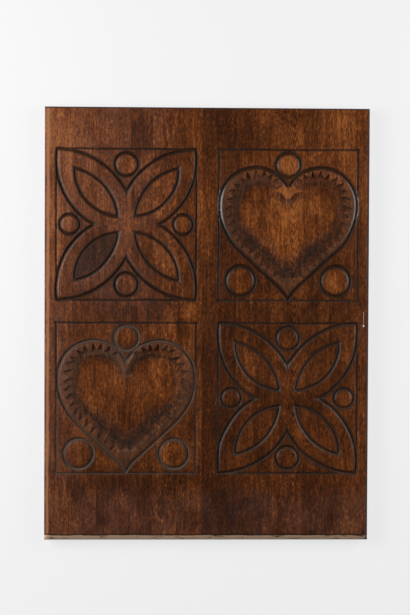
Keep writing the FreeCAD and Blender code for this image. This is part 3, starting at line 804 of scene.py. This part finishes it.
# places shader nodes in one tree; a value may be a number, a colour or another node's output
class NodeBench:
    def __init__(self, tree):
        self.tree = tree

    def add(self, kind):
        return self.tree.nodes.new(kind)

    def feed(self, socket, value):
        if isinstance(value, bpy.types.NodeSocket):
            self.tree.links.new(value, socket)
        else:
            socket.default_value = value

    def calc(self, operation, *values, clamp=False):
        node = self.add("ShaderNodeMath")
        node.operation, node.use_clamp = operation, clamp
        for socket, value in zip(node.inputs, values):
            self.feed(socket, value)
        return node.outputs[0]

    def times(self, first, second):
        return self.calc("MULTIPLY", first, second)

    def most(self, first, second):
        return self.calc("MAXIMUM", first, second)

    def least(self, first, second):
        return self.calc("MINIMUM", first, second)

    def shift(self, base, change, amount):
        return self.calc("MULTIPLY_ADD", change, amount, base)

    # moves the base both ways with a pattern that runs from nought to one
    def sway(self, base, pattern, amount):
        return self.shift(base, self.calc("SUBTRACT", pattern, 0.5), amount)

    def split(self, place):
        node = self.add("ShaderNodeSeparateXYZ")
        self.feed(node.inputs[0], place)
        return node.outputs

    def blend(self, factor, first, second, mode="MIX"):
        node = self.add("ShaderNodeMix")
        node.data_type, node.blend_type = "RGBA", mode
        for socket, value in zip((0, 6, 7), (factor, first, second)):
            self.feed(node.inputs[socket], (*value, 1) if isinstance(value, tuple) else value)
        return node.outputs[2]

    def spread(self, value, low, high, toLow=0.0, toHigh=1.0):
        node = self.add("ShaderNodeMapRange")
        node.interpolation_type = "SMOOTHSTEP"
        for socket, number in zip(node.inputs, (value, low, high, toLow, toHigh)):
            self.feed(socket, number)
        return node.outputs[0]

    def ramp(self, value, stops, constant=False):
        node = self.add("ShaderNodeValToRGB")
        node.color_ramp.interpolation = "CONSTANT" if constant else "LINEAR"
        elements = node.color_ramp.elements
        while len(elements) < len(stops):
            elements.new(0.5)
        for element, (place, colour) in zip(elements, stops):
            element.position = place
            element.color = (*colour, 1)
        self.feed(node.inputs[0], value)
        return node.outputs[0]

    def noise(self, place, scale, detail=3.0, roughness=0.55, turn=0.0, warp=0.0):
        mapping, node = self.add("ShaderNodeMapping"), self.add("ShaderNodeTexNoise")
        mapping.inputs["Scale"].default_value = scale
        mapping.inputs["Rotation"].default_value = (0, 0, turn)
        self.feed(mapping.inputs["Vector"], place)
        self.feed(node.inputs["Vector"], mapping.outputs[0])
        settings = {"Scale": 1.0, "Detail": detail, "Roughness": roughness, "Distortion": warp}
        for name, value in settings.items():
            node.inputs[name].default_value = value
        return node.outputs[0]

    def mark(self, name):
        node = self.add("ShaderNodeAttribute")
        node.attribute_name = name
        return node.outputs["Fac"]


# the staves from left to right: where each ends in mm, its tone and its ray fleck
staves = [(-311.0, 0.61, 0.15), (-257.7, 0.55, 0.2), (-176.1, 0.52, 0.25), (-127.8, 0.52, 0.2),
          (-71.4, 0.54, 0.9), (-12.6, 0.59, 0.2), (67.0, 0.43, 0.1), (145.6, 0.48, 0.2),
          (222.0, 0.57, 0.25), (278.8, 0.50, 0.15), (375.0, 0.56, 0.2)]
# each pattern of the wood: its stretch, detail, roughness, turn and warp
oakPatterns = {
    "bend": ((14, 3.0, 14), 2.0),
    "long": ((150, 14.0, 150), 4.0, 0.6, 0.0, 0.3),
    "short": ((300, 125.0, 300), 3.0, 0.6, 0.0, 0.4),
    "pores": ((620, 75, 620), 3.0, 0.6),
    "flecks": ((150, 48, 150), 3.0, 0.6, 0.35, 0.6),
    "blotch": ((17, 10, 17), 5.0, 0.6, 0.0, 0.4),
}
oakFigures = {"longShare": 0.4, "shortShare": 0.6, "poreSpan": (0.54, 0.68), "fleckSpan": (0.53, 0.64),
              "ringPitch": 0.0046, "ringBend": 30.0, "staveSeed": 0.381, "staveApart": (3.1, 7.7, 1.9)}


# the wood itself, worked through the whole thickness, with the grain along the board
def makeOakFigure():
    tree = bpy.data.node_groups.new("oakFigure", "ShaderNodeTree")
    tree.interface.new_socket("Place", in_out="INPUT", socket_type="NodeSocketVector")
    for name in ("Tone", "Ray", "Streak", "Rings", "Pores", "Flecks", "Blotch"):
        tree.interface.new_socket(name, in_out="OUTPUT", socket_type="NodeSocketFloat")
    node = NodeBench(tree)
    start, end = node.add("NodeGroupInput").outputs["Place"], node.add("NodeGroupOutput")
    # which stave this is: its tone, ray fleck and seed ride in one ramp
    width = 2 * board["halfWidth"]
    stops, edge = [], 0.0
    for index, (stop, tone, ray) in enumerate(staves):
        stops.append((edge, (tone, ray, (index * oakFigures["staveSeed"]) % 1.0)))
        edge = stop / width + 0.5
    across = node.calc("MULTIPLY_ADD", node.split(start)[0], 1 / millimetre / width, 0.5)
    stave = node.add("ShaderNodeSeparateColor")
    node.feed(stave.inputs[0], node.ramp(across, stops, True))
    away = node.add("ShaderNodeCombineXYZ")
    for socket, amount in zip(away.inputs, oakFigures["staveApart"]):
        node.feed(socket, node.times(stave.outputs[2], amount))
    moved = node.add("ShaderNodeVectorMath")
    node.feed(moved.inputs[0], start)
    node.feed(moved.inputs[1], away.outputs[0])
    place = moved.outputs[0]
    pattern = {name: node.noise(place, *sizes) for name, sizes in oakPatterns.items()}
    long = node.times(pattern["long"], oakFigures["longShare"])
    phase = node.times(node.split(place)[0], 2 * math.pi / oakFigures["ringPitch"])
    phase = node.shift(phase, pattern["bend"], oakFigures["ringBend"])
    values = {"Tone": stave.outputs[0], "Ray": stave.outputs[1],
              "Streak": node.shift(long, pattern["short"], oakFigures["shortShare"]),
              "Rings": node.calc("MULTIPLY_ADD", node.calc("SINE", phase), 0.5, 0.5),
              "Pores": node.spread(pattern["pores"], *oakFigures["poreSpan"]),
              "Flecks": node.spread(pattern["flecks"], *oakFigures["fleckSpan"]),
              "Blotch": pattern["blotch"]}
    for name, value in values.items():
        node.feed(end.inputs[name], value)
    return tree


# a material with the oak in it
def startOak(name, figure):
    material = bpy.data.materials.new(name)
    material.use_nodes = True
    node = NodeBench(material.node_tree)
    shader = next(n for n in material.node_tree.nodes if n.type == "BSDF_PRINCIPLED")
    place = node.add("ShaderNodeTexCoord").outputs["Object"]
    oak = node.add("ShaderNodeGroup")
    oak.node_tree = figure
    node.feed(oak.inputs["Place"], place)
    return material, node, shader, place, oak.outputs


def addGrain(node, shader, height, strength, distance):
    bump = node.add("ShaderNodeBump")
    bump.inputs["Strength"].default_value = strength
    bump.inputs["Distance"].default_value = distance
    node.feed(bump.inputs["Height"], height)
    node.feed(shader.inputs["Normal"], bump.outputs[0])


# stain and wax on the carved face, with dust, painted light and painted shade
# dark wax with painted shade, in the cuts, on the wall of the dish and in the line above the foot
waxAndShadeColour = (0.0138, 0.0080, 0.0050)
finish = {
    "tones": [(0.0, (0.010, 0.0042, 0.0025)), (0.3, (0.036, 0.0100, 0.0027)), (0.5, (0.075, 0.0197, 0.0042)),
              (0.7, (0.150, 0.0400, 0.0078)), (1.0, (0.330, 0.1050, 0.0240))],
    "streak": 1.7,
    "rings": 0.06,
    "pores": -0.30,
    "flecks": 0.24,
    "blotch": 0.74,
    # patches of darker or paler tone: place, reach across and along, change of tone
    "patches": [(230, 29, 160, 42, -0.06), (186, -171, 62, 62, -0.09), (-187, 229, 170, 170, 0.05),
                (-108, -92, 36, 44, 0.14), (-295, -385, 32, 42, -0.10), (-205, -385, 28, 44, -0.09),
                (100, -418, 34, 26, -0.07), (-168, 440, 28, 30, -0.06), (107, 446, 26, 30, -0.06),
                (0, 250, 26, 140, 0.17), (-338, 480, 10, 7, 0.24), (184, 235, 44, 100, 0.11),
                (184, 445, 44, 60, -0.03), (-362, 345, 13, 38, -0.10), (-350, 190, 24, 160, 0.20),
                (-345, -420, 40, 80, 0.07), (118, 235, 34, 90, -0.06), (-100, 30, 70, 50, -0.14),
                (-43, 30, 26, 44, 0.14), (335, 29, 60, 50, -0.10), (342, 445, 60, 70, -0.09),
                (-187, 229, 50, 50, 0.07), (184, -200, 44, 330, -0.06), (-170, -360, 230, 46, -0.10),
                (120, 376, 64, 36, 0.13), (-187, 364, 110, 28, 0.08), (-178, 15, 42, 42, -0.12),
                (16, 277, 18, 52, 0.12)],
    "patchEdge": (1.0, 0.35),
    "patchRagged": 1.2,
    "cathedral": {"x": 0.2005, "steep": 350.0, "pitch": 0.019, "span": (0.034, 0.0119), "ragged": 9.0,
                  "tone": 0.13},
    "paleTop": {"up": (0.18, 0.46), "out": (0.06, 0.34), "tone": 0.16},
    "bloomAndSheen": {"colour": (0.065, 0.070, 0.085), "share": 0.14, "foot": (-0.36, -0.42), "left": (-0.27, -0.35),
              "upperLeft": (0.0, -0.22), "upperFoot": (-0.05, 0.1), "patchy": (0.35, 0.6, 0.4, 1.0)},
    "veil": 0.22,
    "wallStreak": (0.7, 0.3, 0.6, 1.3),
    "cutWaxAndShade": (0.06, 0.60, 0.0, 0.88),
    "waxAndShadeStreak": (0.75, 0.25, 0.8, 1.0),
    "dustAndLight": (0.105, 0.069, 0.049),
    "dustAndLightDeep": (0.45, 0.95, 0.3, 1.0),
    "leafStain": (0.022, 0.0118, 0.0080),
    "stainStreak": (0.35, 0.65, 0.95, 0.62),
    # bare wood where the frame rubbed the left edge, a worn foot whose pale colour is partly painted light,
    # and a line of dark wax and painted shade above the foot
    "edgeWearAndLight": [
        {"edge": "leftShare", "in": (0.35, 0.75), "out": (1.30, 1.02), "grain": ((60, 22, 60), 4.0, 0.6),
         "worn": (0.28, 0.46, 0.5, 1.0), "share": 0.9, "colour": (0.245, 0.100, 0.040)},
        {"edge": "footShare", "in": (0.0, 0.15), "out": (1.12, 0.88), "grain": ((40, 150, 40), 4.0, 0.65),
         "worn": (0.28, 0.50), "share": 0.9, "colour": (0.60, 0.41, 0.27)},
        {"edge": "footShare", "in": (0.95, 1.12), "out": (1.45, 1.2), "share": 0.75, "colour": waxAndShadeColour},
    ],
    "darkEdge": {"span": (1.1, 0.85), "share": 0.8, "colour": (0.030, 0.0125, 0.0085)},
    "paint": (0.80, 0.76, 0.68),
    "paintEdge": (0.25, 0.6),
    "roughness": {"face": 0.38, "blotch": 0.22, "pores": 0.12, "bevels": 0.42, "bevelSpan": (1.2, 1.0),
                  "dustAndLight": 0.4, "wall": (0.05, 0.3, 0.0, 0.98), "matt": (0.05, 0.5, 0.0, 0.95)},
    "shine": 0.21,
    "polishRoughness": 0.3,
    "grain": {"streak": 0.5, "pores": -0.35, "strength": 0.35, "depth": 0.0006},
}


def makeFaceFinish(figure):
    material, node, shader, place, oak = startOak("stainedOakFace", figure)
    x, y, _ = node.split(place)
    streak, blotch = oak["Streak"], oak["Blotch"]
    tone = node.sway(oak["Tone"], streak, finish["streak"])
    tone = node.sway(tone, oak["Rings"], finish["rings"])
    tone = node.shift(tone, oak["Pores"], finish["pores"])
    tone = node.shift(tone, node.times(oak["Flecks"], oak["Ray"]), finish["flecks"])
    tone = node.sway(tone, blotch, finish["blotch"])
    for patchX, patchY, reachX, reachY, change in finish["patches"]:
        fromX = node.calc("MULTIPLY_ADD", x, 1 / millimetre / reachX, -patchX / reachX)
        fromY = node.calc("MULTIPLY_ADD", y, 1 / millimetre / reachY, -patchY / reachY)
        away = node.calc("SQRT", node.calc("MULTIPLY_ADD", fromX, fromX, node.times(fromY, fromY)))
        away = node.sway(away, blotch, finish["patchRagged"])
        tone = node.shift(tone, node.spread(away, *finish["patchEdge"]), change)

    # one stave was cut near the heart of the tree, and shows nested points
    nested = finish["cathedral"]
    off = node.calc("SUBTRACT", x, nested["x"])
    bow = node.times(node.times(off, off), nested["steep"])
    turn = node.times(node.calc("SUBTRACT", y, bow), 2 * math.pi / nested["pitch"])
    points = node.calc("SINE", node.shift(turn, blotch, nested["ragged"]))
    points = node.times(points, node.spread(node.calc("ABSOLUTE", off), *nested["span"]))
    tone = node.shift(tone, points, nested["tone"])

    # the top corners paler, discs and dish were rubbed cleaner than the face, and the beak below a heart's
    # cleft has a painted highlight
    paleTop = finish["paleTop"]
    corner = node.times(node.spread(y, *paleTop["up"]), node.spread(node.calc("ABSOLUTE", x), *paleTop["out"]))
    tone = node.shift(tone, corner, paleTop["tone"])
    tone = node.calc("ADD", tone, node.mark("rubbed"))
    colour = node.ramp(tone, finish["tones"])

    # painted grey sheen, partly old wax bloom, down the left side, over the upper flower and along the foot
    bloomAndSheen = finish["bloomAndSheen"]
    upper = node.times(node.spread(x, *bloomAndSheen["upperLeft"]), node.spread(y, *bloomAndSheen["upperFoot"]))
    grey = node.most(node.spread(y, *bloomAndSheen["foot"]), node.spread(x, *bloomAndSheen["left"]))
    grey = node.times(node.most(grey, upper), node.spread(blotch, *bloomAndSheen["patchy"]))
    colour = node.blend(node.times(grey, bloomAndSheen["share"]), colour, bloomAndSheen["colour"])

    # painted grey sheen with dust between the teeth, then painted shade on the wall of the dish and dark wax
    # with painted shade in every cut, with dust and painted light over it in places
    wall, groove, dustAndLight = (node.mark(name) for name in ("wall", "groove", "dustAndLight"))
    colour = node.blend(node.times(node.mark("veil"), finish["veil"]), colour, finish["dustAndLight"])
    waxAndShade = node.times(wall, node.spread(streak, *finish["wallStreak"]))
    waxAndShade = node.most(node.spread(groove, *finish["cutWaxAndShade"]), waxAndShade)
    waxAndShade = node.calc("MULTIPLY", waxAndShade, node.spread(streak, *finish["waxAndShadeStreak"]), clamp=True)
    dustAndLightShare = node.times(dustAndLight, node.spread(groove, *finish["dustAndLightDeep"]))
    colour = node.blend(waxAndShade, colour, node.blend(dustAndLightShare, waxAndShadeColour, finish["dustAndLight"]))
    stain = node.times(node.mark("leafStain"), node.spread(streak, *finish["stainStreak"]))
    colour = node.blend(stain, colour, finish["leafStain"])

    for edge in finish["edgeWearAndLight"]:
        share = node.mark(edge["edge"])
        worn = node.times(node.spread(share, *edge["in"]), node.spread(share, *edge["out"]))
        if "grain" in edge:
            worn = node.times(worn, node.spread(node.noise(place, *edge["grain"]), *edge["worn"]))
        colour = node.blend(node.times(worn, edge["share"]), colour, edge["colour"])
    # painted shade darkens the right and top bevels
    others, dark = node.least(node.mark("rightShare"), node.mark("topShare")), finish["darkEdge"]
    colour = node.blend(node.times(node.spread(others, *dark["span"]), dark["share"]), colour, dark["colour"])
    colour = node.blend(node.spread(node.mark("paint"), *finish["paintEdge"]), colour, finish["paint"])
    node.feed(shader.inputs["Base Color"], colour)

    rough = finish["roughness"]
    gloss = node.sway(rough["face"], blotch, rough["blotch"])
    gloss = node.shift(gloss, oak["Pores"], rough["pores"])
    inward = node.least(others, node.least(node.mark("leftShare"), node.mark("footShare")))
    gloss = node.shift(gloss, node.spread(inward, *rough["bevelSpan"]), rough["bevels"])
    gloss = node.shift(gloss, dustAndLight, rough["dustAndLight"])
    gloss = node.most(gloss, node.spread(wall, *rough["wall"]))
    gloss = node.most(gloss, node.spread(node.mark("matt"), *rough["matt"]))
    node.feed(shader.inputs["Roughness"], gloss)
    node.feed(shader.inputs["Coat Weight"], node.mark("polish"))
    shader.inputs["Specular IOR Level"].default_value = finish["shine"]
    shader.inputs["Coat Roughness"].default_value = finish["polishRoughness"]
    grain = finish["grain"]
    height = node.shift(node.times(streak, grain["streak"]), oak["Pores"], grain["pores"])
    addGrain(node, shader, height, grain["strength"], grain["depth"])
    return material


# edges and back: sawn, stained once, never waxed
edges = {
    "tones": [(0.0, (0.016, 0.008, 0.005)), (0.5, (0.075, 0.034, 0.016)), (1.0, (0.20, 0.105, 0.055))],
    "tone": 0.25, "staves": 0.5, "streak": 0.75, "blotch": 0.5, "pores": -0.2,
    "roughness": 0.62, "roughBlotch": 0.2, "sawPitch": 0.0042,
    "grain": {"saw": 0.12, "strength": 0.4, "depth": 0.0008},
}


def makeEdgeFinish(figure):
    material, node, shader, place, oak = startOak("sawnOakEdges", figure)
    tone = node.calc("MULTIPLY_ADD", oak["Tone"], edges["staves"], edges["tone"])
    tone = node.sway(tone, oak["Streak"], edges["streak"])
    tone = node.sway(tone, oak["Blotch"], edges["blotch"])
    tone = node.shift(tone, oak["Pores"], edges["pores"])
    node.feed(shader.inputs["Base Color"], node.ramp(tone, edges["tones"]))
    rough = node.shift(edges["roughness"], oak["Blotch"], edges["roughBlotch"])
    node.feed(shader.inputs["Roughness"], rough)
    saw = node.calc("SINE", node.times(node.split(place)[1], 2 * math.pi / edges["sawPitch"]))
    grain = edges["grain"]
    addGrain(node, shader, node.shift(oak["Streak"], saw, grain["saw"]), grain["strength"], grain["depth"])
    return material


oakFigure = makeOakFigure()
piece.data.materials.append(makeFaceFinish(oakFigure))
piece.data.materials.append(makeEdgeFinish(oakFigure))
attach(piece, "root")
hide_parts("carved_panel")
print("oak finished")

# studio, in metres: pale floor, a soft lamp to each side, a pale horizon and a dim room overhead
studio = {
    "floorColour": (0.83, 0.835, 0.85),
    "floorSide": 14.0,
    "floorDrop": 0.0004,
    "whiteShare": 0.80,
    "white": (0.915, 0.915, 0.92),
    "lamps": {
        "leftLamp": {"at": (-1.75, 0.45, 1.05), "aim": (-0.05, 0.15, 0.0), "size": (1.4, 1.1), "watts": 55.0},
        "rightLamp": {"at": (1.9, 0.45, 0.85), "aim": (0.1, 0.15, 0.0), "size": (1.4, 1.1), "watts": 34.0},
    },
    "room": [(0.0, 0.5), (0.16, 0.5), (0.5, 0.06), (1.0, 0.06)],  # from the horizon up
    "sideWalls": (0.0, 0.9, 0.3, 1.0),
}


def makeFloor():
    side, level = studio["floorSide"] / 2, -studio["floorDrop"]
    mesh = bpy.data.meshes.new("studioFloor")
    corners = [(-side, -side, level), (side, -side, level), (side, side, level), (-side, side, level)]
    mesh.from_pydata(corners, [], [(0, 1, 2, 3)])
    floor = bpy.data.objects.new("studio_floor", mesh)
    bpy.context.scene.collection.objects.link(floor)
    material = bpy.data.materials.new("paleFloor")
    material.use_nodes = True
    material.node_tree.nodes.clear()
    node = NodeBench(material.node_tree)
    matt, glow = node.add("ShaderNodeBsdfDiffuse"), node.add("ShaderNodeEmission")
    matt.inputs["Color"].default_value = (*studio["floorColour"], 1)
    glow.inputs["Color"].default_value = (*studio["white"], 1)
    path = node.add("ShaderNodeLightPath").outputs
    seen = node.most(path["Is Camera Ray"], path["Is Glossy Ray"])
    seen = node.most(seen, path["Is Transmission Ray"])
    mixed, out = node.add("ShaderNodeMixShader"), node.add("ShaderNodeOutputMaterial")
    node.feed(mixed.inputs[0], node.times(seen, studio["whiteShare"]))
    node.feed(mixed.inputs[1], matt.outputs[0])
    node.feed(mixed.inputs[2], glow.outputs[0])
    node.feed(out.inputs[0], mixed.outputs[0])
    mesh.materials.append(material)


def makeLamps():
    for name, lamp in studio["lamps"].items():
        data = bpy.data.lights.new(name, "AREA")
        data.shape = "RECTANGLE"
        data.size, data.size_y = lamp["size"]
        data.energy = lamp["watts"]
        light = bpy.data.objects.new(name, data)
        light.location = lamp["at"]
        aim = Vector(lamp["aim"]) - Vector(lamp["at"])
        light.rotation_euler = aim.to_track_quat("-Z", "Y").to_euler()
        bpy.context.scene.collection.objects.link(light)


def makeRoom():
    world = bpy.data.worlds.new("studioRoom")
    world.use_nodes = True
    bpy.context.scene.world = world
    node = NodeBench(world.node_tree)
    ground = next(n for n in world.node_tree.nodes if n.type == "BACKGROUND")
    sideways, _, upward = node.split(node.add("ShaderNodeTexCoord").outputs["Generated"])
    sky = node.ramp(upward, [(place, (grey,) * 3) for place, grey in studio["room"]])
    # the walls to left and right are the pale ones
    walls = node.spread(node.calc("ABSOLUTE", sideways), *studio["sideWalls"])
    node.feed(ground.inputs["Color"], node.blend(1.0, sky, walls, "MULTIPLY"))


# where the picture was taken from, in metres and degrees
camera = {"at": (-0.069, 0.0891, 2.7889), "turn": (-1.046, -1.328, 0.247), "lens": 70.0, "sensor": 36.0,
          "clip": (0.05, 60.0)}


def makeCamera():
    data = bpy.data.cameras.new("pictureCamera")
    data.lens, data.sensor_width = camera["lens"], camera["sensor"]
    data.clip_start, data.clip_end = camera["clip"]
    view = bpy.data.objects.new("pictureCamera", data)
    view.location = camera["at"]
    view.rotation_euler = Euler([math.radians(t) for t in camera["turn"]])
    bpy.context.scene.collection.objects.link(view)
    bpy.context.scene.camera = view


makeFloor()
makeLamps()
makeRoom()
makeCamera()
bpy.context.scene.view_settings.view_transform = "Standard"
print("studio and camera set")
